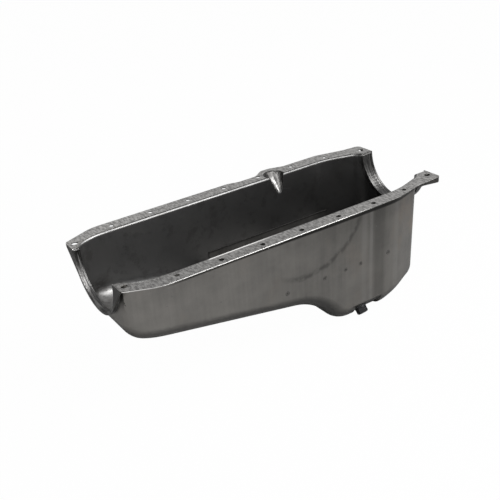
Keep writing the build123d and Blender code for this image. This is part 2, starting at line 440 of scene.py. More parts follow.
@dataclass(frozen=True)
class DrawnSteel:
    """Bare cold-drawn sheet with a film of oil: streaks, stains, grain, scuffs and heat marks, and painted
    reflections, highlights and shade.

    Each layer is a method that takes the point being shaded and the colour below it.
    """

    base: Colour = (0.235, 0.226, 0.211)
    warm: Colour = (0.290, 0.245, 0.203)
    dark: Colour = (0.155, 0.150, 0.142)
    rail: Colour = (0.280, 0.275, 0.267)
    rail_dark: Colour = (0.105, 0.102, 0.099)
    # The rails' cut edge: bare sheared metal, painted lighter as a highlight.
    sheared: Colour = (0.330, 0.325, 0.318)
    # Painted highlights: the near wall's upper inside edge, the pocket's flank, the rails' cut edge at the front.
    painted_highlight_grey: Colour = (0.520, 0.512, 0.500)
    # The painted highlight along the near rail's inner edge.
    painted_highlight_white: Colour = (0.860, 0.850, 0.835)
    # Scuffs on the arches, and the painted highlight in the dipstick pocket.
    scuff_and_highlight_grey: Colour = (0.205, 0.202, 0.198)
    # Residue, stains and heat marks, and also painted shade.
    residue_and_shade: Colour = (0.034, 0.033, 0.032)
    # Painted shade under the rails and on the end plates.
    painted_shade: Colour = (0.012, 0.012, 0.011)
    inside_front: Colour = grey(0.165)
    inside_rear: Colour = grey(0.077)
    roughness: float = 0.42
    relief: float = mm(0.06)
    edge_radius: float = mm(1.1)
    skin: float = mm(0.05)
    sheet: float = mm(1.5)
    cut_depth: float = mm(1.6)
    # How far the painted shade under the rails reaches down.
    rail_shade_depth: float = mm(19)
    arch_reach: float = mm(69)
    arch_start: float = mm(244)
    tub_half: float = mm(86.0)
    pocket_x: float = mm(90.0)
    pocket_half: float = mm(24)
    pocket_rim: float = mm(2)
    # Painted reflections: pale upright bands on the near wall.
    painted_reflection_bands: tuple[Band, Band, Band] = (
        Band(0.122, 0.131, mm(3), 0.7),
        Band(0.137, 0.143, mm(2)),
        Band(0.188, 0.197, mm(4), 0.7),
    )
    # A painted darker band between the painted reflections.
    painted_dark_band: Band = Band(0.146, 0.168, mm(6))
    # Where the painted highlight runs along the near wall's upper inside edge.
    painted_highlight_band: Band = Band(-0.140, -0.045, mm(12))
    welds: WeldSites = field(default_factory=WeldSites)

    @staticmethod
    def _streaks(shader: Shader) -> Signal:
        """Draws the upright streaks of the draw on the walls.

        Args:
            shader: The finish's shader.

        Returns:
            The streaks, from 0 to 1.
        """
        fine = shader.noise((200, 20, 9), 4.0, 0.6)
        broad = shader.noise((30, 6, 3.5), 2.0, 0.5, at=(0.31, 0, 0))
        mottle = shader.noise((26, 26, 34), 4.0, 0.6, at=(0.05, 0.2, 0.4))
        return fine * 0.22 + broad * 0.38 + mottle * 0.40

    def _read(self, shader: Shader) -> PanPoint:
        """Reads the place of the point being shaded, the marks on its mesh and its noises.

        Args:
            shader: The finish's shader.

        Returns:
            The point.
        """
        x, y, z = shader.axes()
        return PanPoint(
            shader=shader,
            x=x,
            y=y,
            z=z,
            near=y < 0.0,
            top=z > -self.skin,
            inner=shader.flag("inner"),
            rim=shader.flag("rim") * (z > -self.cut_depth),
            rim_highlight=1.0 - x.ramp(0.05, 0.15),
            streaks=self._streaks(shader),
            clouds=shader.noise((9, 9, 9), 4.0, 0.6),
            grain=shader.noise((300, 110, 300), 4.0, 0.75, turn=38.0),
        )

    def _crease_shade(self, point: PanPoint) -> Signal:
        """Paints shade along a faint crease on the near wall, an arc in side view.

        Args:
            point: The point being shaded.

        Returns:
            How much of the line covers it.
        """
        shader, x, z = point.shader, point.x, point.z
        centre_x, centre_z, radius, width, wander = 0.0185, 0.0235, 0.111, mm(7), mm(12)
        drift = (shader.noise((45, 1, 45), 3.0, 0.6, at=(0.2, 0, 0.6)) - 0.5) * wander
        across = ((x - centre_x) ** 2.0 + (z - centre_z) ** 2.0) ** 0.5
        line = 1.0 - abs(across - radius + drift).ramp(0.0, width)
        ends = x.ramp(-0.035, 0.005) * (1.0 - z.ramp(-0.03, -0.012))
        breaks = shader.noise((70, 1, 70), 3.0, 0.6).ramp(0.30, 0.55)
        return line * ends * (0.2 + breaks * 0.8) * point.near * 0.52

    def _shade_under_rails(self, point: PanPoint) -> Signal:
        """Paints the dark line of shade on the walls under the rails' overhang.

        Args:
            point: The point being shaded.

        Returns:
            How much of the line covers it.
        """
        x, z = point.x, point.z
        deeper_to_the_rear = x.ramp(-0.12, 0.10) * mm(2.8)
        depth = self.rail_shade_depth + deeper_to_the_rear
        along = x.ramp(-0.215, -0.17) * (1.0 - x.ramp(0.235, 0.25))
        return (z + depth).ramp(-mm(1.6), mm(1.2)) * along * 0.96

    def _halos(self, point: PanPoint) -> Signal:
        """Draws the heat marks round the spot welds.

        Args:
            point: The point being shaded.

        Returns:
            How much of a mark covers it.
        """
        welds, near = self.welds, None
        for along in welds.along:
            reach = ((point.x - along) ** 2.0 + (point.z - welds.height) ** 2.0) ** 0.5
            near = reach if near is None else near.least(reach)
        away = near + point.shader.noise((420, 420, 420), 3.0, 0.65) * welds.ragged
        core = 1.0 - away.ramp(*welds.core)
        halo = 1.0 - away.ramp(welds.mark_radius, welds.halo_radius)
        return core * 0.55 + halo * 0.30

    def _sheet_and_painted_light(self, point: PanPoint) -> Signal:
        """Colours the sheet, with painted light that makes it brighter at the front and darker to the rear.

        Args:
            point: The point being shaded.

        Returns:
            The sheet's colour.
        """
        shader, x, z = point.shader, point.x, point.z
        colour = shader.blend(point.streaks.ramp(0.30, 0.72), self.dark, self.base)
        patches = point.clouds.ramp(0.35, 0.75) * 0.55
        colour = shader.blend(patches, colour, self.base)
        warmth = shader.noise((16, 16, 10), 3.0, 0.6, at=(0.7, 0.2, 0)).ramp(0.5, 0.72)
        rear = x.ramp(0.13, 0.24)
        colour = shader.blend(warmth * (0.18 + rear * 0.5), colour, self.warm)
        # Painted light: the sheet is multiplied brighter at the front and darker to the rear.
        painted_light = shader.blend(x.ramp(-0.30, 0.16), grey(1.13), grey(0.71))
        colour = shader.blend(1.0, colour, painted_light, "MULTIPLY")
        upper = z.ramp(-0.09, -0.02) * x.ramp(-0.05, 0.10)
        colour = shader.shade(upper, colour, 0.80)
        lower = (1.0 - z.ramp(-0.15, -0.07)) * x.ramp(0.02, 0.09) * (1.0 - x.ramp(0.18, 0.22))
        return shader.shade(lower, colour, 1.13)

    def _marks(self, point: PanPoint, colour: Signal) -> Signal:
        """Adds painted reflection bands, painted shade along a crease, dark spots, heat marks and painted shade
        under the rails.

        Args:
            point: The point being shaded.
            colour: Its colour so far.

        Returns:
            The colour with these marks.
        """
        shader, x, near = point.shader, point.x, point.near
        first, second, third = (band.cover(x) for band in self.painted_reflection_bands)
        # Painted reflections on the near wall, in the rails' grey.
        colour = shader.blend((first + second + third) * near * 0.22, colour, self.rail)
        # A painted darker band between the painted reflections.
        colour = shader.shade(self.painted_dark_band.cover(x) * near, colour, 0.76)
        # Painted shade along the crease on the near wall.
        colour = shader.blend(self._crease_shade(point), colour, self.residue_and_shade)
        spots = shader.noise((160, 160, 160), 2.0, 0.5, at=(0.1, 0.4, 0.2)).ramp(0.70, 0.76)
        colour = shader.blend(spots * 0.55, colour, self.dark)
        colour = shader.blend(self._halos(point) * (1.0 - point.top), colour, self.residue_and_shade)
        # Painted shade on the outer walls under the rails' overhang.
        return shader.blend(self._shade_under_rails(point) * (1.0 - point.inner), colour, self.painted_shade)

    def _inside(self, point: PanPoint, colour: Signal) -> Signal:
        """Paints shade into the inside, darker to the rear and low at the front, stains it, and paints a highlight
        along the upper edge of the near wall.

        Args:
            point: The point being shaded.
            colour: Its colour so far.

        Returns:
            The colour with the inside's.
        """
        shader, x, z = point.shader, point.x, point.z
        # Painted shade: the inside darkens from front to rear.
        inside = shader.blend(x.ramp(-0.27, 0.25), self.inside_front, self.inside_rear)
        stains = shader.noise((42, 42, 42), 5.0, 0.7, at=(0.6, 0.1, 0.3)).ramp(0.50, 0.66)
        inside = shader.blend(stains * 0.36, inside, self.residue_and_shade)
        front = 1.0 - x.ramp(-0.2, 0.0)
        patches = point.clouds.ramp(0.55, 0.75) * front * 0.5
        inside = shader.blend(patches, inside, self.base)
        # Painted shade low in the front of the inside, broken by streaks.
        mouth_shade = (1.0 - x.ramp(-0.238, -0.205)) * (1.0 - z.ramp(-0.075, -0.055))
        shade_streaks = shader.noise((60, 260, 260), 4.0, 0.7, at=(0.3, 0.3, 0)).ramp(0.38, 0.60)
        inside = shader.blend(mouth_shade * (0.35 + shade_streaks * 0.5), inside, self.residue_and_shade)
        colour = shader.blend(point.inner * 0.85, colour, inside)
        # Painted highlight along the upper edge of the near wall's inside.
        edge = z.ramp(-mm(2.6), -mm(0.8)) * point.near * point.inner
        return shader.blend(self.painted_highlight_band.cover(x) * edge, colour, self.painted_highlight_grey)

    def _pocket(self, point: PanPoint, colour: Signal) -> Signal:
        """Paints the inside of the dipstick pocket dark as shade, with a painted highlight streak down it and a
        flank to the rear painted lighter.

        Args:
            point: The point being shaded.
            colour: Its colour so far.

        Returns:
            The colour with the pocket's.
        """
        shader, z = point.shader, point.z
        along = point.x - self.pocket_x
        beyond = point.y > self.tub_half + self.pocket_rim
        pocket = beyond * (abs(along) < self.pocket_half) * point.inner
        blots = shader.noise((240, 240, 150), 4.0, 0.7, at=(0.4, 0.1, 0.2)).ramp(0.40, 0.60)
        # Painted highlight streak part way down the pocket; above and below it the pocket is painted shade.
        painted_streak = z.ramp(-mm(30), -mm(22)) * (1.0 - z.ramp(-mm(15), -mm(5)))
        pocket_shade_and_highlight = shader.blend(painted_streak * (0.4 + blots * 0.6), self.residue_and_shade, self.scuff_and_highlight_grey)
        # The flank to the rear is painted lighter, as if lit.
        lit_rear_flank = along.ramp(mm(2), mm(8)) * (0.2 + blots * 0.8)
        pocket_shade_and_highlight = shader.blend(lit_rear_flank * 0.6, pocket_shade_and_highlight, self.painted_highlight_grey)
        return shader.blend(pocket, colour, pocket_shade_and_highlight)

    def _arches(self, point: PanPoint, colour: Signal) -> Signal:
        """Paints shade where the outside looks down, and darkens the seal arches, more at the rear, lining them
        with fine scuffs.

        Args:
            point: The point being shaded.
            colour: Its colour so far.

        Returns:
            The colour with the arches'.
        """
        shader, x = point.shader, point.x
        under = shader.flag("under") * (1.0 - point.inner)
        # Painted shade on the outside where it looks down.
        under_shade = under * (0.70 + x.ramp(-0.2, 0.0) * 0.15)
        colour = shader.blend(under_shade, colour, self.residue_and_shade)
        around = (point.y ** 2.0 + point.z ** 2.0) ** 0.5
        arch = (around < self.arch_reach) * (abs(x) > self.arch_start)
        scuffs = shader.noise((700, 45, 45), 3.0, 0.7).ramp(0.40, 0.60)
        lined = shader.blend(scuffs, self.residue_and_shade, self.scuff_and_highlight_grey)
        darker_at_the_rear = shader.blend(x > 0.0, grey(0.60), grey(0.42))
        lined = shader.blend(1.0, lined, darker_at_the_rear, "MULTIPLY")
        return shader.blend(arch * 0.85, colour, lined)

    def _rails(self, point: PanPoint, colour: Signal) -> Signal:
        """Grains the rails' tops, with a painted highlight strip along the near one's inner edge.

        Args:
            point: The point being shaded.
            colour: Its colour so far.

        Returns:
            The colour with the rails'.
        """
        shader, x = point.shader, point.x
        rail = shader.blend(point.grain.ramp(0.40, 0.60), self.rail_dark, self.rail)
        near_front = (1.0 - x.ramp(-0.10, 0.20)) * point.near
        rail = shader.shade(near_front, rail, 0.84)
        far_front = (1.0 - x.ramp(-0.18, -0.06)) * (1.0 - point.near)
        rail = shader.shade(far_front, rail, 1.25)
        from_tub = abs(point.y) - self.tub_half
        # Painted highlight along the near rail's inner edge.
        highlight_strip = (1.0 - from_tub.ramp(mm(4.5), mm(6.5))) * point.near
        highlight_strip = highlight_strip * x.ramp(-0.144, -0.140) * (1.0 - x.ramp(-0.085, -0.015))
        rail = shader.blend(highlight_strip, rail, self.painted_highlight_white)
        return shader.blend(point.top, colour, rail)

    def _edges(self, point: PanPoint, colour: Signal) -> Signal:
        """Paints shade on the end plates under the ears, and colours the rails' cut edge: bare sheared metal with
        a painted highlight to the front and painted shade to the rear.

        Args:
            point: The point being shaded.
            colour: Its colour so far.

        Returns:
            The colour with the edges'.
        """
        shader, x = point.shader, point.x
        # Painted shade on the end plates, darkest under the ears.
        end = shader.flag("end") * (point.z + mm(34)).ramp(-mm(14), mm(12))
        colour = shader.blend(end * 0.9, colour, self.painted_shade)
        # The cut edge: bare sheared metal with a painted highlight to the front, painted shade to the rear.
        edge = shader.blend(x.ramp(-0.245, -0.21), self.painted_highlight_grey, self.sheared)
        cut = shader.blend(point.rim_highlight, self.residue_and_shade, edge)
        return shader.blend(point.rim * (1.0 - end), colour, cut)

    def material(self) -> bpy.types.Material:
        """Builds the material.

        Returns:
            The material.
        """
        shader = Shader("pan_steel")
        point = self._read(shader)
        colour = self._sheet_and_painted_light(point)
        for layer in (
            self._marks,
            self._inside,
            self._pocket,
            self._arches,
            self._rails,
            self._edges,
        ):
            colour = layer(point, colour)
        wear = shader.noise((420, 420, 420), 3.0, 0.6)
        uneven = (wear - 0.5) * 0.16 + (point.clouds - 0.5) * 0.12
        roughness = self.roughness + uneven - point.inner * 0.05
        height = point.streaks * 0.4 + wear * 0.25 + point.grain * point.top * 0.35
        rolled = point.rim * point.rim_highlight * (point.z / self.sheet + 1.0)
        rounded = shader.rolled_over(rolled, shader.rounded_normal(self.edge_radius))
        normal = shader.bump(height, self.relief, 0.6, rounded)
        return shader.surface(Base_Color=colour, Metallic=0.92, Roughness=roughness, Normal=normal)


@dataclass(frozen=True)
class TraySteel:
    """Thin bare sheet, darker with oil in its corners."""

    base: Colour = (0.125, 0.122, 0.117)
    dark: Colour = (0.060, 0.059, 0.057)
    oil: Colour = (0.030, 0.029, 0.028)
    edge_height: float = mm(-89)
    roughness: float = 0.46

    def material(self) -> bpy.types.Material:
        """Builds the material.

        Returns:
            The material.
        """
        shader = Shader("tray_steel")
        height = shader.axes()[2]
        clouds = shader.noise((22, 22, 22), 4.0, 0.6)
        rolled = shader.noise((14, 700, 700), 3.0, 0.6)
        colour = shader.blend(clouds.ramp(0.3, 0.7), self.dark, self.base)
        colour = shader.blend(rolled.ramp(0.4, 0.8) * 0.25, colour, self.base)
        oiled = (height - self.edge_height).ramp(-mm(3), 0.0)
        colour = shader.blend(oiled * 0.85, colour, self.oil)
        roughness = self.roughness + (clouds - 0.5) * 0.2
        edges = shader.rounded_normal(mm(0.25))
        normal = shader.bump(rolled, mm(0.03), 0.5, edges)
        return shader.surface(Base_Color=colour, Metallic=0.92, Roughness=roughness, Normal=normal)


@dataclass(frozen=True)
class TurnedSteel:
    """Lathe-turned bright steel with fine rings about the drain's axis."""

    base: Colour = (0.26, 0.25, 0.24)
    dark: Colour = (0.13, 0.125, 0.12)

    def material(self) -> bpy.types.Material:
        """Builds the material.

        Returns:
            The material.
        """
        shader = Shader("nut_steel")
        rings = shader.noise((60, 900, 900), 3.0, 0.6)
        stain = shader.noise((120, 120, 120), 3.0, 0.6)
        colour = shader.blend(stain.ramp(0.35, 0.7), self.dark, self.base)
        normal = shader.bump(rings, mm(0.03), 0.5, shader.rounded_normal(mm(0.2)))
        roughness = 0.34 + stain * 0.15
        return shader.surface(Base_Color=colour, Metallic=0.95, Roughness=roughness, Normal=normal)


@dataclass(frozen=True)
class BlackOxide:
    """Blackened steel, rubbed brighter where a spanner has touched it."""

    base: Colour = (0.009, 0.009, 0.010)
    painted_streak: Colour = (0.036, 0.035, 0.034)

    def material(self) -> bpy.types.Material:
        """Builds the material.

        Returns:
            The material.
        """
        shader = Shader("plug_steel")
        rub = shader.noise((260, 260, 260), 4.0, 0.65).ramp(0.55, 0.75)
        grit = shader.noise((1500, 1500, 1500), 3.0, 0.6)
        colour = shader.blend(rub * 0.7, self.base, self.painted_streak)
        roughness = 0.36 + grit * 0.2 - rub * 0.08
        normal = shader.bump(grit, mm(0.03), 0.5, shader.rounded_normal(mm(0.3)))
        return shader.surface(Base_Color=colour, Metallic=0.55, Roughness=roughness, Normal=normal)


@dataclass(frozen=True)
class SealRubber:
    """Dark moulded rubber with a matt, faintly mottled skin."""

    base: Colour = (0.022, 0.022, 0.023)
    bloom: Colour = (0.050, 0.050, 0.051)

    def material(self) -> bpy.types.Material:
        """Builds the material.

        Returns:
            The material.
        """
        shader = Shader("gasket_rubber")
        mottle = shader.noise((700, 700, 700), 4.0, 0.6)
        colour = shader.blend(mottle.ramp(0.45, 0.8), self.base, self.bloom)
        normal = shader.bump(mottle, mm(0.04), 0.5)
        return shader.surface(Base_Color=colour, Roughness=0.62 + mottle * 0.2, Normal=normal)


@dataclass(frozen=True)
class WeldSteel:
    """Spot-weld and bead metal with blued and browned heat colours."""

    name: str = "weld_steel"
    base: Colour = (0.145, 0.135, 0.128)
    scorched: Colour = (0.045, 0.043, 0.046)

    def material(self) -> bpy.types.Material:
        """Builds the material.

        Returns:
            The material.
        """
        shader = Shader(self.name)
        scale = shader.noise((420, 420, 420), 4.0, 0.65)
        colour = shader.blend(scale.ramp(0.3, 0.7), self.scorched, self.base)
        normal = shader.bump(scale, mm(0.08), 0.6)
        roughness = 0.42 + scale * 0.2
        return shader.surface(Base_Color=colour, Metallic=0.85, Roughness=roughness, Normal=normal)


class NodeGroup:
    """A Geometry Nodes tree with named inputs."""

    def __init__(self, name: str) -> None:
        """Makes a tree with geometry in and out.

        Args:
            name: The tree's name.
        """
        self.tree = bpy.data.node_groups.new(name, "GeometryNodeTree")
        interface = self.tree.interface
        interface.new_socket("Geometry", in_out="INPUT", socket_type="NodeSocketGeometry")
        interface.new_socket("Geometry", in_out="OUTPUT", socket_type="NodeSocketGeometry")
        self.start = self.tree.nodes.new("NodeGroupInput")
        self.end = self.tree.nodes.new("NodeGroupOutput")
        self.values: dict[str, tuple[str, Any]] = {}

    def size(self, name: str, kind: str, value: Any) -> bpy.types.NodeSocket:
        """Adds a named input.

        Args:
            name: Its name.
            kind: Its socket type without the prefix, such as Float.
            value: What the modifier sets it to.

        Returns:
            The socket inside the tree.
        """
        socket_type = f"NodeSocket{kind}"
        item = self.tree.interface.new_socket(name, in_out="INPUT", socket_type=socket_type)
        self.values[name] = (item.identifier, value)
        return self.start.outputs[name]

    def add(
        self,
        kind: str,
        settings: dict[str, Any] | None = None,
        inputs: dict[str | int, Any] | None = None,
    ) -> bpy.types.Node:
        """Adds a node.

        Args:
            kind: The node's type.
            settings: Its properties.
            inputs: Values or sockets by name or number.

        Returns:
            The node.
        """
        node = self.tree.nodes.new(kind)
        for key, value in (settings or {}).items():
            setattr(node, key, value)
        for key, value in (inputs or {}).items():
            if isinstance(value, bpy.types.NodeSocket):
                self.tree.links.new(value, node.inputs[key])
            else:
                node.inputs[key].default_value = value
        return node

    def random_scale(self, scales: Span, seed: int) -> bpy.types.Node:
        """Adds a random scale for what is placed on points.

        Args:
            scales: The smallest and the largest scale.
            seed: The fixed seed.

        Returns:
            The node, whose second output is the scale.
        """
        return self.add(
            "FunctionNodeRandomValue",
            {"data_type": "FLOAT"},
            {2: scales[0], 3: scales[1], "Seed": self.size("Seed", "Int", seed)},
        )

    def close(self, geometry: bpy.types.NodeSocket, material: bpy.types.Material) -> None:
        """Ends the tree with real geometry in one material.

        Args:
            geometry: What the tree has made.
            material: The finish.
        """
        real = self.add("GeometryNodeRealizeInstances", inputs={"Geometry": geometry})
        dressed = self.add(
            "GeometryNodeSetMaterial",
            inputs={"Geometry": real.outputs[0], "Material": material},
        )
        self.tree.links.new(dressed.outputs[0], self.end.inputs[0])

    def run(self, name: str, mesh: bpy.types.Mesh) -> bpy.types.Object:
        """Runs the tree on a mesh and keeps the result as a plain mesh object.

        Args:
            name: The new object's name.
            mesh: The mesh that the tree starts from.

        Returns:
            The object.
        """
        carrier = bpy.data.objects.new(name, mesh)
        bpy.context.scene.collection.objects.link(carrier)
        modifier = carrier.modifiers.new("build", "NODES")
        modifier.node_group = self.tree
        for identifier, value in self.values.values():
            modifier[identifier] = value
        graph = bpy.context.evaluated_depsgraph_get()
        result = bpy.data.meshes.new_from_object(carrier.evaluated_get(graph), depsgraph=graph)
        carrier.modifiers.remove(modifier)
        carrier.data = result
        return carrier


class Piece:
    """Shared steps that turn a mesh into a dressed piece of the part."""

    @staticmethod
    def from_bmesh(name: str, mesh: bmesh.types.BMesh) -> bpy.types.Object:
        """Makes an object from a bmesh and frees it.

        Args:
            name: The object's name.
            mesh: The bmesh.

        Returns:
            The object.
        """
        data = bpy.data.meshes.new(name)
        mesh.to_mesh(data)
        mesh.free()
        thing = bpy.data.objects.new(name, data)
        bpy.context.scene.collection.objects.link(thing)
        return thing

    @staticmethod
    def merged_copy(name: str, node: str) -> bpy.types.Object:
        """A copy of a CAD node's mesh with its loose triangles joined.

        Args:
            name: The copy's name.
            node: The CAD node.

        Returns:
            The object.
        """
        mesh = bmesh.new()
        mesh.from_mesh(frame["nodes"][node].data)
        bmesh.ops.remove_doubles(mesh, verts=mesh.verts, dist=MERGE_REACH)
        return Piece.from_bmesh(name, mesh)

    @staticmethod
    def smooth(thing: bpy.types.Object, angle: float) -> None:
        """Shades a mesh smooth up to an angle between faces.

        Args:
            thing: The object.
            angle: The largest smooth angle, in degrees.
        """
        thing.data.shade_smooth()
        thing.data.set_sharp_from_angle(angle=math.radians(angle))

    @staticmethod
    def weigh_shading(thing: bpy.types.Object, weight: int = 80) -> None:
        """Weighs the smooth shading by the faces' areas, so that slivers don't show.

        Args:
            thing: The object.
            weight: How much the large faces count, where 50 counts all alike.
        """
        modifier = thing.modifiers.new("weighed", "WEIGHTED_NORMAL")
        modifier.mode = "FACE_AREA"
        modifier.weight = weight
        modifier.keep_sharp = True
        evaluated = thing.evaluated_get(bpy.context.evaluated_depsgraph_get())
        mesh = bpy.data.meshes.new_from_object(evaluated)
        thing.modifiers.clear()
        thing.data = mesh

    @staticmethod
    def bridge(mesh: bmesh.types.BMesh, loops: Sequence[Sequence[bmesh.types.BMVert]]) -> None:
        """Joins each closed loop of vertices to the next by faces, and caps nothing.

        Args:
            mesh: The mesh.
            loops: The loops, all of one length.
        """
        for lower, upper in zip(loops, loops[1:]):
            for place in range(len(lower)):
                after = (place + 1) % len(lower)
                mesh.faces.new((lower[place], lower[after], upper[after], upper[place]))

    @staticmethod
    def dress(thing: bpy.types.Object, material: bpy.types.Material, body: str, slot: str) -> None:
        """Gives a piece its finish and its body.

        Args:
            thing: The object.
            material: Its finish.
            body: The body that it rides on.
            slot: The record's material slot; not used.
        """
        thing.data.materials.clear()
        thing.data.materials.append(material)
        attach(thing, body)
        log.info("%s: %d faces on body %s", thing.name, len(thing.data.polygons), body)


@dataclass
class PanShell:
    """The drawn sheet, its faces told apart into inside and outside."""

    smooth_angle: float = 28.0
    axis_height: float = mm(-30)
    cut_depth: float = mm(1.6)
    ear_depth: float = mm(8)
    front_ears: float = mm(-205)
    end_plates: float = mm(255)
    below_top: float = mm(0.05)
    below_rails: float = mm(0.1)
    hole_margin: float = mm(0.5)
    upright: float = 0.3
    facing_end: float = 0.8
    under_gain: float = 2.6
    under_start: float = 0.12
    bead_centres: tuple[Span, Span] = ((mm(-262.75), mm(66.975)), (mm(253.25), mm(63.475)))
    bead_reach: float = mm(1.65)
    bead_fade: Span = (mm(-24), mm(-6))
    bead_loss: float = 0.9
    finish: DrawnSteel = field(default_factory=DrawnSteel)

    def _fade_beads(self, thing: bpy.types.Object) -> None:
        """Lets the round beads of the seal arches run out before they reach the rails.

        Args:
            thing: The shell's object.
        """
        low, high = self.bead_fade
        for vertex in thing.data.vertices:
            point = vertex.co
            around = math.hypot(point.y, point.z)
            for along, radius in self.bead_centres:
                away = math.hypot(point.x - along, around - radius)
                if point.z < low or away > self.bead_reach:
                    continue
                left = 1.0 - self.bead_loss * min(1.0, (point.z - low) / (high - low))
                grown = (radius + (around - radius) * left) / around
                vertex.co = (along + (point.x - along) * left, point.y * grown, point.z * grown)

    def _in_hole(self, point: Vector) -> bool:
        """Whether a point lies on the wall of a rail hole.

        Args:
            point: The point.

        Returns:
            True inside a bolt's hole and for a small margin round it.
        """
        for mount in RECORD["mounts"]:
            if mount["kind"] != "bolt_pattern":
                continue
            sizes = mount["dims"]
            away_x = abs(abs(point.x - mount["pos_m"][0]) - mm(sizes.get("spacing_x_mm", 0.0)) / 2)
            away_y = abs(abs(point.y) - mm(sizes["spacing_y_mm"]) / 2)
            if math.hypot(away_x, away_y) < mm(sizes["hole_r_mm"]) + self.hole_margin:
                return True
        return False

    def _mark_faces(self, thing: bpy.types.Object) -> None:
        """Keeps on each face and corner what it is, as numbers for the finish.

        A face of the inside is "inner", one of the rails' cut edge "rim" and one of the end
        plates "end". A corner is "under" by how far down its normal looks. The finish paints shade
        on the end plates and on the outside where a corner is under.

        Args:
            thing: The shell's object.
        """
        attributes, names = thing.data.attributes, ("inner", "rim", "end")
        for name in names:
            attributes.new(name, "FLOAT", "FACE")
        inner, rim, end = (attributes[name].data for name in names)
        for polygon in thing.data.polygons:
            centre, normal, index = polygon.center, polygon.normal, polygon.index
            inward = -centre.y * normal.y + (self.axis_height - centre.z) * normal.z
            inner[index].value = float(inward > 0.0 and centre.z < -self.below_rails)
            faces_end = abs(normal.x) > self.facing_end
            depth = self.ear_depth if centre.x < self.front_ears else self.cut_depth
            cut = abs(normal.z) < self.upright and -depth < centre.z < -self.below_top
            rim[index].value = float(cut and not faces_end and not self._in_hole(centre))
            end[index].value = float(faces_end and abs(centre.x) > self.end_plates)
        under = thing.data.attributes.new("under", "FLOAT", "CORNER")
        for corner, value in zip(thing.data.corner_normals, under.data):
            down = -corner.vector.z * self.under_gain - self.under_start
            value.value = min(1.0, max(0.0, down))

    def build(self) -> bpy.types.Object:
        """Builds and dresses the shell.

        Returns:
            The shell.
        """
        shell = Piece.merged_copy("pan_shell_skin", "pan_shell")
        self._fade_beads(shell)
        Piece.smooth(shell, self.smooth_angle)
        Piece.weigh_shading(shell)
        self._mark_faces(shell)
        Piece.dress(shell, self.finish.material(), "pan", "pan_steel")
        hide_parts("pan_shell")
        return shell


@dataclass
class EarHems:
    """The edges of the two rear ears, which are turned down below the rail's sheet."""

    start: float = mm(228)
    full: float = mm(257)
    least: float = mm(3)
    most: float = mm(8)
    sheet: float = mm(1.5)
    margin: float = mm(0.05)
    facing_side: float = 0.15
    smooth_angle: float = 30.0
    finish: DrawnSteel = field(default_factory=DrawnSteel)

    def _depth(self, along: float) -> float:
        """How deep the edge reaches at a place along the pan."""
        share = min(1.0, max(0.0, (along - self.start) / (self.full - self.start)))
        return self.least + (self.most - self.least) * share

    def _edges(self, shell: bpy.types.Object) -> dict[int, list[int]]:
        """The lower edges of the rail's cut face round the rear ears.

        Args:
            shell: The shell's object, with its faces marked.

        Returns:
            The neighbours of each vertex along the edge.
        """
        mesh = shell.data
        marks = mesh.attributes["rim"].data
        joined: dict[int, list[int]] = {}
        for polygon in mesh.polygons:
            centre, sideways = polygon.center, polygon.normal.y
            beside = centre.y * sideways > 0 and abs(sideways) > self.facing_side
            if not (marks[polygon.index].value and centre.x > self.start and beside):
                continue
            low = [
                index
                for index in polygon.vertices
                if abs(mesh.vertices[index].co.z + self.sheet) < self.margin
            ]
            if len(low) == 2:
                joined.setdefault(low[0], []).append(low[1])
                joined.setdefault(low[1], []).append(low[0])
        return joined

    @staticmethod
    def _runs(joined: dict[int, list[int]]) -> list[list[int]]:
        """Splits the edges into runs.

        Args:
            joined: The neighbours of each vertex along the edges.

        Returns:
            The vertices of each run in order.
        """
        runs: list[list[int]] = []
        seen: set[int] = set()
        for first in [vertex for vertex, others in joined.items() if len(others) == 1]:
            if first in seen:
                continue
            run = [first]
            seen.add(first)
            while following := [vertex for vertex in joined[run[-1]] if vertex not in seen]:
                run.append(following[0])
                seen.add(following[0])
            runs.append(run)
        return runs

    def build(self, shell: bpy.types.Object) -> bpy.types.Object:
        """Builds and dresses the turned-down edges.

        Args:
            shell: The shell's object.

        Returns:
            The edges.
        """
        mesh = bmesh.new()
        for run in self._runs(self._edges(shell)):
            points = [shell.data.vertices[index].co for index in run]
            loops = []
            for index, point in enumerate(points):
                way = points[min(index + 1, len(points) - 1)] - points[max(index - 1, 0)]
                inward = Vector((-way.y, way.x, 0)).normalized() * self.sheet
                if inward.y * point.y > 0:
                    inward = -inward
                foot = Vector((0, 0, -self._depth(point.x) - point.z))
                corners = (point, point + foot, point + foot + inward, point + inward)
                loops.append([mesh.verts.new(corner) for corner in corners])
            Piece.bridge(mesh, loops)
            mesh.faces.new(loops[0])
            mesh.faces.new(loops[-1])
        bmesh.ops.recalc_face_normals(mesh, faces=mesh.faces)
        hems = Piece.from_bmesh("rear_ear_hems", mesh)
        Piece.smooth(hems, self.smooth_angle)
        # The whole hem is marked so that the finish paints it with shade.
        under = hems.data.attributes.new("under", "FLOAT", "CORNER")
        for value in under.data:
            value.value = 1.0
        Piece.dress(hems, self.finish.material(), "pan", "pan_steel")
        return hems


@dataclass
class BaffleTray:
    """The folded tray over the sump."""

    smooth_angle: float = 30.0

    def build(self) -> bpy.types.Object:
        """Builds and dresses the tray.

        Returns:
            The tray.
        """
        tray = Piece.merged_copy("baffle_tray_skin", "baffle_tray")
        Piece.smooth(tray, self.smooth_angle)
        Piece.dress(tray, TraySteel().material(), "pan", "tray_steel")
        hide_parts("baffle_tray")
        return tray


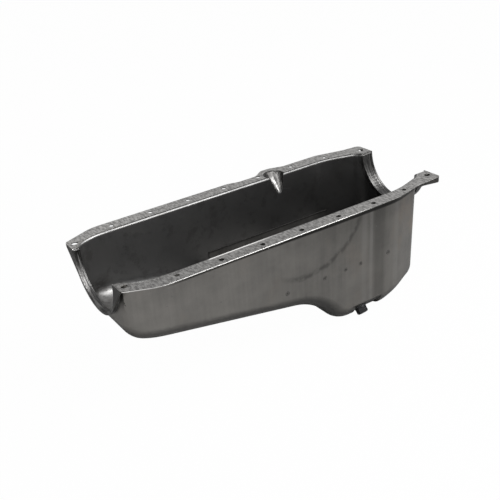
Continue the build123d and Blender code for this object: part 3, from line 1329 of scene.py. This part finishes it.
@dataclass
class SpotWelds:
    """The electrode marks of the spot welds, on the outer walls and the tray's flanges."""

    sites: WeldSites = field(default_factory=WeldSites)
    rim: float = mm(0.45)
    height: float = mm(0.16)
    segments: int = 20
    rim_segments: int = 8
    scales: Span = (0.88, 1.08)
    seed: int = 7
    probe: float = mm(140)
    smooth_angle: float = 60.0

    def _stamp(self, nodes: NodeGroup) -> bpy.types.NodeSocket:
        """Makes one mark: a low flattened ring.

        Args:
            nodes: The tree.

        Returns:
            The mark.
        """
        radius = nodes.size("Mark radius", "Float", self.sites.mark_radius)
        circle = nodes.add(
            "GeometryNodeCurvePrimitiveCircle",
            inputs={"Resolution": self.segments, "Radius": radius},
        )
        thickness = nodes.size("Rim radius", "Float", self.rim)
        profile = nodes.add(
            "GeometryNodeCurvePrimitiveCircle",
            inputs={"Resolution": self.rim_segments, "Radius": thickness},
        )
        ring = nodes.add(
            "GeometryNodeCurveToMesh",
            inputs={"Curve": circle.outputs[0], "Profile Curve": profile.outputs[0]},
        )
        flat = nodes.add(
            "GeometryNodeTransform",
            inputs={"Geometry": ring.outputs[0], "Scale": (1.0, 1.0, self.height / self.rim)},
        )
        return flat.outputs[0]

    def _points(self, walls: BVHTree, face: Face) -> bpy.types.Mesh:
        """The places of the marks with their wall's normal.

        Args:
            walls: The surface that the marks lie on.
            face: Which face of the sheet they are on.

        Returns:
            A mesh of loose points with a normal on each.
        """
        places: list[Vector] = []
        normals: list[Vector] = []
        for side in Side:
            for along in self.sites.along:
                start = side.value * self.probe if face is Face.OUTER else 0.0
                way = Vector((0, -side.value * face.value, 0))
                spot, normal, _, _ = walls.ray_cast(Vector((along, start, self.sites.height)), way)
                places.append(spot)
                normals.append(normal if normal.dot(way) < 0 else -normal)
        mesh = bpy.data.meshes.new("weld_points")
        mesh.from_pydata(places, [], [])
        layer = mesh.attributes.new("wall_normal", "FLOAT_VECTOR", "POINT")
        for item, normal in zip(layer.data, normals):
            item.vector = normal
        return mesh

    def build(self, surface: bpy.types.Object, face: Face, name: str) -> bpy.types.Object:
        """Builds one set of marks.

        Args:
            surface: The piece that the marks are pressed into.
            face: The face of the sheet that shows them.
            name: The new object's name.

        Returns:
            The marks.
        """
        mesh = bmesh.new()
        mesh.from_mesh(surface.data)
        walls = BVHTree.FromBMesh(mesh)
        mesh.free()
        nodes = NodeGroup(name)
        normal = nodes.add(
            "GeometryNodeInputNamedAttribute",
            {"data_type": "FLOAT_VECTOR"},
            {"Name": "wall_normal"},
        )
        turn = nodes.add(
            "FunctionNodeAlignRotationToVector",
            {"axis": "Z"},
            {"Vector": normal.outputs[0]},
        )
        size = nodes.random_scale(self.scales, self.seed)
        marks = nodes.add(
            "GeometryNodeInstanceOnPoints",
            inputs={
                "Points": nodes.start.outputs[0],
                "Instance": self._stamp(nodes),
                "Rotation": turn.outputs[0],
                "Scale": size.outputs[1],
            },
        )
        material = WeldSteel(f"{name}_steel").material()
        nodes.close(marks.outputs[0], material)
        welds = nodes.run(name, self._points(walls, face))
        Piece.smooth(welds, self.smooth_angle)
        Piece.dress(welds, material, "pan", "pan_steel")
        return welds


class Drain:
    """The drain's axis and sizes, read from the joints and the CAD nodes."""

    def __init__(self) -> None:
        """Reads the frame."""
        turn = next(joint for joint in frame["joints"] if joint["type"] == "hinge")
        self.centre = Vector(turn["pos_m"])
        self.out = Vector(turn["axis"]).normalized()
        across = Vector((1, 0, 0))
        rows = Matrix((across, self.out.cross(across), self.out))
        self.frame = Matrix.Translation(self.centre) @ rows.transposed().to_4x4()

    def span(self, node: str) -> tuple[float, float]:
        """How far a node reaches along the axis.

        Args:
            node: The CAD node.

        Returns:
            Its lowest and highest distance from the pad's face.
        """
        vertices = frame["nodes"][node].data.vertices
        reach = [(vertex.co - self.centre).dot(self.out) for vertex in vertices]
        return min(reach), max(reach)

    def radius(self, node: str, low: float, high: float) -> float:
        """The largest radius of a node between two distances along the axis.

        Args:
            node: The CAD node.
            low: The nearer distance.
            high: The further distance.

        Returns:
            The radius.
        """
        found = 0.0
        for vertex in frame["nodes"][node].data.vertices:
            arm = vertex.co - self.centre
            along = arm.dot(self.out)
            if low <= along <= high:
                found = max(found, (arm - along * self.out).length)
        return found


@dataclass
class DrainPlug:
    """The hexagon plug with a real screw thread on its shank."""

    drain: Drain
    pitch: float = mm(1.27)
    thread_depth: float = mm(0.72)
    across_flats: float = mm(16)
    head_height: float = mm(8)
    flange_height: float = mm(2)
    crown: float = mm(1.4)
    crown_slope: float = 1.25
    crown_steps: int = 12
    tip_chamfer: float = mm(1.4)
    run_out: float = mm(2.5)
    least_groove: float = 0.15
    groove_slope: float = 1.25
    crest: float = 0.12
    steps_a_turn: int = 8
    around: int = 96
    smooth_angle: float = 32.0

    def _head_radius(self, angle: float, depth: float, corner: float) -> float:
        """Radius of the hexagon at an angle, cut by its chamfered crown.

        Args:
            angle: The angle about the axis.
            depth: The distance below the head's top.
            corner: The radius at the hexagon's corners.

        Returns:
            The radius.
        """
        sector = math.pi / 3
        within = (angle + sector / 2) % sector - sector / 2
        flat = self.across_flats / 2 / math.cos(within)
        crown = corner - max(0.0, self.crown - depth) * self.crown_slope
        return min(flat, crown)

    def _rings(self) -> list[tuple[float, Callable[[float], float]]]:
        """Draws the plug's outline from its tip to its head.

        Returns:
            Distances along the axis, each with its rule for the radius at an angle.
        """
        low, high = self.drain.span("drain_plug")
        seat = high - self.head_height - self.flange_height
        bottom = seat + self.flange_height
        shank = self.drain.radius("drain_plug", low, seat - mm(1))
        flange = self.drain.radius("drain_plug", seat - mm(0.01), bottom)
        corner = self.drain.radius("drain_plug", high - self.head_height / 2, high)
        rings: list[tuple[float, Callable[[float], float]]] = []
        steps = int((seat - low) / self.pitch * self.steps_a_turn)
        for step in range(steps + 1):
            along = low + (seat - low) * step / steps
            rings.append((along, self._thread(along, low, seat, shank)))
        for along, radius in (
            (seat, flange - mm(0.3)),
            (seat + mm(0.3), flange),
            (bottom - mm(0.4), flange),
            (bottom, flange - mm(0.5)),
        ):
            rings.append((along, lambda angle, radius=radius: radius))
        for step in range(self.crown_steps + 1):
            share = step / self.crown_steps
            depth = self.head_height * (1 - share) ** 2
            rings.append((high - depth, partial(self._head_radius, depth=depth, corner=corner)))
        return rings

    def _thread(
        self,
        along: float,
        low: float,
        seat: float,
        shank: float,
    ) -> Callable[[float], float]:
        """Gives the thread's rule for the radius at one distance along the axis.

        Args:
            along: The distance.
            low: Where the shank's tip is.
            seat: Where the flange is.
            shank: The radius over the thread's crests.

        Returns:
            Radius by angle.
        """
        deep = max(self.least_groove, min(1.0, (seat - along) / self.run_out))
        tip = min(0.0, (along - low) - self.tip_chamfer)

        def radius(angle: float) -> float:
            """Gives the radius of the thread.

            Args:
                angle: The angle about the axis.

            Returns:
                The radius at that angle.
            """
            phase = ((along - low) / self.pitch - angle / math.tau) % 1.0
            wave = abs(2 * phase - 1)
            cut = min(1.0, max(0.0, self.groove_slope * wave - self.crest))
            return shank - self.thread_depth * cut * deep + tip

        return radius

    def build(self) -> bpy.types.Object:
        """Builds and dresses the plug.

        Returns:
            The plug.
        """
        mesh = bmesh.new()
        loops = []
        for along, rule in self._rings():
            loop = []
            for step in range(self.around):
                angle = math.tau * step / self.around
                radius = rule(angle)
                spot = (radius * math.cos(angle), radius * math.sin(angle), along)
                loop.append(mesh.verts.new(spot))
            loops.append(loop)
        Piece.bridge(mesh, loops)
        mesh.faces.new(reversed(loops[0]))
        mesh.faces.new(loops[-1])
        bmesh.ops.remove_doubles(mesh, verts=mesh.verts, dist=MERGE_REACH)
        bmesh.ops.transform(mesh, matrix=self.drain.frame, verts=mesh.verts)
        plug = Piece.from_bmesh("drain_plug_threaded", mesh)
        Piece.smooth(plug, self.smooth_angle)
        Piece.dress(plug, BlackOxide().material(), "plug", "plug_steel")
        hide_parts("drain_plug")
        return plug


@dataclass
class DrainGasket:
    """The moulded sealing washer with rounded rims."""

    drain: Drain
    bore: float = mm(6.65)
    round_over: float = mm(0.6)
    round_steps: int = 8
    around: int = 72
    smooth_angle: float = 40.0

    def _profile(self) -> list[Span]:
        """Draws the washer's section, round at its outer rim and at its bore.

        Returns:
            The section's points, as radius and distance along the axis.
        """
        low, high = self.drain.span("drain_gasket")
        outer = self.drain.radius("drain_gasket", low, high)
        middle, flat = (low + high) / 2, (high - low) / 2 - self.round_over
        level_enough = 1e-6
        points: list[Span] = []
        for centre, start in ((outer - self.round_over, -90), (self.bore + self.round_over, 90)):
            for step in range(self.round_steps + 1):
                turn = math.radians(start + 180 * step / self.round_steps)
                rise = math.sin(turn)
                side = math.copysign(flat, rise) if abs(rise) > level_enough else 0.0
                radius = centre + self.round_over * math.cos(turn)
                points.append((radius, middle + side + self.round_over * rise))
        return points

    def build(self) -> bpy.types.Object:
        """Builds and dresses the gasket.

        Returns:
            The gasket.
        """
        profile = self._profile()
        mesh = bmesh.new()
        loops = []
        for step in range(self.around):
            angle = math.tau * step / self.around
            loops.append([
                mesh.verts.new((radius * math.cos(angle), radius * math.sin(angle), along))
                for radius, along in profile
            ])
        for index, loop in enumerate(loops):
            following = loops[(index + 1) % self.around]
            for place in range(len(profile)):
                after = (place + 1) % len(profile)
                mesh.faces.new((loop[place], following[place], following[after], loop[after]))
        bmesh.ops.recalc_face_normals(mesh, faces=mesh.faces)
        bmesh.ops.transform(mesh, matrix=self.drain.frame, verts=mesh.verts)
        gasket = Piece.from_bmesh("drain_gasket_ring", mesh)
        Piece.smooth(gasket, self.smooth_angle)
        Piece.dress(gasket, SealRubber().material(), "gasket", "gasket")
        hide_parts("drain_gasket")
        return gasket


@dataclass
class WeldNut:
    """The round nut and the weld bead that holds it to the pad."""

    drain: Drain
    ripples: int = 44
    bead_radius: float = mm(1.3)
    bead_reach: float = 0.2
    bead_sink: float = 0.35
    scales: Span = (0.85, 1.12)
    seed: int = 3
    smooth_angle: float = 35.0
    bead_angle: float = 60.0

    def build(self) -> None:
        """Dresses the nut and lays its bead."""
        nut = Piece.merged_copy("weld_nut_skin", "drain_weld_nut")
        Piece.smooth(nut, self.smooth_angle)
        Piece.dress(nut, TurnedSteel().material(), "pan", "nut_steel")
        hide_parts("drain_weld_nut")
        self._bead()

    def _bead(self) -> bpy.types.Object:
        """Lays the bead: round ripples that overlap along the nut's foot.

        Returns:
            The bead.
        """
        low, high = self.drain.span("drain_weld_nut")
        radius = self.drain.radius("drain_weld_nut", low, high)
        radius += self.bead_radius * self.bead_reach
        nodes = NodeGroup("nut_bead")
        ring = nodes.add(
            "GeometryNodeCurvePrimitiveCircle",
            inputs={
                "Resolution": nodes.size("Ripples", "Int", self.ripples),
                "Radius": nodes.size("Ring radius", "Float", radius),
            },
        )
        points = nodes.add(
            "GeometryNodeCurveToPoints",
            {"mode": "EVALUATED"},
            {"Curve": ring.outputs[0]},
        )
        thickness = nodes.size("Bead radius", "Float", self.bead_radius)
        drop = nodes.add(
            "GeometryNodeMeshIcoSphere",
            inputs={"Radius": thickness, "Subdivisions": 2},
        )
        size = nodes.random_scale(self.scales, self.seed)
        row = nodes.add(
            "GeometryNodeInstanceOnPoints",
            inputs={
                "Points": points.outputs[0],
                "Instance": drop.outputs[0],
                "Scale": size.outputs[1],
            },
        )
        material = WeldSteel("nut_bead_steel").material()
        nodes.close(row.outputs[0], material)
        bead = nodes.run("nut_weld_bead", bpy.data.meshes.new("bead_start"))
        foot = Matrix.Translation((0, 0, high - self.bead_radius * self.bead_sink))
        bead.data.transform(self.drain.frame @ foot)
        Piece.smooth(bead, self.bead_angle)
        Piece.dress(bead, material, "pan", "nut_steel")
        return bead


@dataclass
class PhotoCamera:
    """The camera that took the photograph, by its fitted place and turn."""

    place: Point = (-0.574681, -0.907707, 0.477126)
    yaw: float = 31.25418
    pitch: float = 26.91686
    roll: float = 5.08447
    lens: float = 57.4119
    sensor: float = 36.0

    def build(self) -> bpy.types.Object:
        """Sets up the scene's camera.

        Returns:
            The camera.
        """
        yaw, pitch, roll = (math.radians(angle) for angle in (self.yaw, self.pitch, self.roll))
        forward, drop = math.cos(pitch), -math.sin(pitch)
        ahead = Vector((math.sin(yaw) * forward, math.cos(yaw) * forward, drop))
        level = Vector((math.cos(yaw), -math.sin(yaw), 0.0))
        down = ahead.cross(level)
        right = math.cos(roll) * level + math.sin(roll) * down
        below = -math.sin(roll) * level + math.cos(roll) * down
        data = bpy.data.cameras.new("photo_camera")
        data.lens = self.lens
        data.sensor_width = self.sensor
        camera = bpy.data.objects.new("photo_camera", data)
        turn = Matrix((right, -below, -ahead)).transposed().to_4x4()
        camera.matrix_world = Matrix.Translation(self.place) @ turn
        bpy.context.scene.collection.objects.link(camera)
        bpy.context.scene.camera = camera
        return camera


@dataclass(frozen=True)
class Lamp:
    """A soft panel that shines at the part's middle."""

    name: str
    towards: Point
    distance: float
    size: tuple[float, float]
    power: float

    def build(self, aim: Vector) -> None:
        """Hangs the panel.

        Args:
            aim: The point that it shines at.
        """
        data = bpy.data.lights.new(self.name, "AREA")
        data.shape = "RECTANGLE"
        data.size, data.size_y = self.size
        data.energy = self.power
        panel = bpy.data.objects.new(self.name, data)
        way = Vector(self.towards).normalized()
        panel.location = aim + way * self.distance
        panel.rotation_euler = way.to_track_quat("Z", "Y").to_euler()
        panel.visible_camera = False
        bpy.context.scene.collection.objects.link(panel)


@dataclass
class Studio:
    """Plain pale room: a floor that the camera sees as white, even surroundings, soft panels."""

    floor_half: float = 9.0
    floor_gap: float = mm(1)
    floor_colour: Colour = (0.385, 0.385, 0.385)
    floor_glow: float = 0.985
    sky: float = 0.62
    lamps: tuple[Lamp, ...] = (
        Lamp("top_panel", (0.46, -0.45, 0.76), distance=1.7, size=(1.3, 0.9), power=44.0),
        Lamp("back_panel", (0.46, 0.76, 0.55), distance=1.9, size=(1.8, 1.0), power=5.0),
        Lamp("front_panel", (-0.7, -0.6, 0.35), distance=2.1, size=(1.4, 1.2), power=16.0),
    )

    def _floor(self) -> None:
        """Lays the floor: white to the camera, with a trace of the part's shadow."""
        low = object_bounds()[0]
        mesh = bmesh.new()
        bmesh.ops.create_grid(mesh, x_segments=1, y_segments=1, size=self.floor_half)
        bmesh.ops.translate(mesh, vec=(0, 0, low.z - self.floor_gap), verts=mesh.verts)
        floor = Piece.from_bmesh("studio_floor", mesh)
        shader = Shader("studio_floor")
        matt = shader.add("ShaderNodeBsdfDiffuse", inputs={"Color": (*self.floor_colour, 1.0)})
        glow = shader.add("ShaderNodeEmission", inputs={"Color": (1, 1, 1, 1), "Strength": 1.0})
        seen = shader.add("ShaderNodeLightPath", output="Is Camera Ray") * self.floor_glow
        both = shader.add("ShaderNodeMixShader", inputs={0: seen, 1: matt, 2: glow})
        floor.data.materials.append(shader.finish(both))
        floor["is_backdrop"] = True

    def _surroundings(self) -> None:
        """Lights the room evenly from all sides, paler where the camera sees its walls."""
        world = bpy.data.worlds.new("studio")
        world.use_nodes = True
        bpy.context.scene.world = world
        tree = world.node_tree
        tree.nodes.clear()
        path = tree.nodes.new("ShaderNodeLightPath")
        white = tree.nodes.new("ShaderNodeMath")
        white.operation = "MAXIMUM"
        tree.links.new(path.outputs["Is Camera Ray"], white.inputs[0])
        tree.links.new(path.outputs["Is Transmission Ray"], white.inputs[1])
        strength = tree.nodes.new("ShaderNodeMapRange")
        tree.links.new(white.outputs[0], strength.inputs["Value"])
        strength.inputs["To Min"].default_value = self.sky
        strength.inputs["To Max"].default_value = 1.0
        back = tree.nodes.new("ShaderNodeBackground")
        tree.links.new(strength.outputs[0], back.inputs["Strength"])
        end = tree.nodes.new("ShaderNodeOutputWorld")
        tree.links.new(back.outputs[0], end.inputs["Surface"])

    def build(self) -> None:
        """Builds the floor, the surroundings and the panels."""
        self._floor()
        self._surroundings()
        low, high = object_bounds()
        for lamp in self.lamps:
            lamp.build((low + high) / 2)
        bpy.context.scene.view_settings.view_transform = "Standard"


def main() -> None:
    """Builds the part, its surroundings and the camera."""
    logging.basicConfig(level=logging.INFO, format="%(name)s %(message)s")
    PhotoCamera().build()
    shell = PanShell().build()
    EarHems().build(shell)
    tray = BaffleTray().build()
    welds = SpotWelds()
    welds.build(shell, Face.OUTER, "spot_welds_outside")
    welds.build(tray, Face.INNER, "spot_welds_inside")
    drain = Drain()
    WeldNut(drain).build()
    DrainGasket(drain).build()
    DrainPlug(drain).build()
    Studio().build()


if __name__ == "__main__":
    main()
